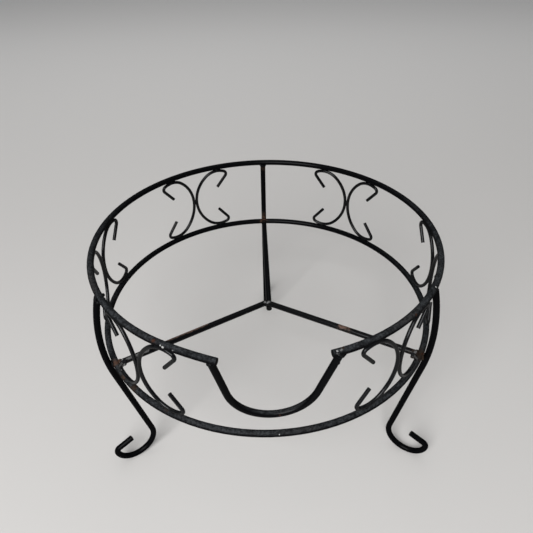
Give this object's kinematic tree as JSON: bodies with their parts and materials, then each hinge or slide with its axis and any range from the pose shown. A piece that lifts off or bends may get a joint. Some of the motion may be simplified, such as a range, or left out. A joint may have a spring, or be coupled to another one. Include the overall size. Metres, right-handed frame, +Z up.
{
  "type": "plant stand",
  "caption": "Low round welded-rod plant stand for one pot: a ring with a dip at the front, a floor of bars, wire scrolls between the rings and curled feet.",
  "frame": {"origin": "on the axis of the two rings, at the level of the floor that the feet stand on", "axes": "+Z up along the axis of the rings, the dip of the upper ring faces -Y, the back leg lies towards +Y"},
  "size_m": [0.2879, 0.3044, 0.1955],
  "materials": {
    "black_paint": "satin black paint, dusty on top, with rust spots",
    "painted_weld": "satin black paint over rough weld beads, rusting"
  },
  "bodies": {
    "root": {"upper_ring": "black_paint", "front_dip": "black_paint", "lower_ring": "black_paint", "front_floor_bar": "black_paint", "back_floor_bar": "black_paint", "back_leg": "black_paint", "left_leg": "black_paint", "right_leg": "black_paint", "scroll_back_left_a": "black_paint", "scroll_back_left_b": "black_paint", "scroll_left_a": "black_paint", "scroll_left_b": "black_paint", "scroll_front_left_a": "black_paint", "scroll_front_left_b": "black_paint", "scroll_front_right_a": "black_paint", "scroll_front_right_b": "black_paint", "scroll_right_a": "black_paint", "scroll_right_b": "black_paint", "scroll_back_right_a": "black_paint", "scroll_back_right_b": "black_paint", "dip_welds": "painted_weld", "leg_welds": "painted_weld", "floor_welds": "painted_weld", "scroll_tacks": "painted_weld", "pair_tacks": "painted_weld"}
  },
  "joints": []
}
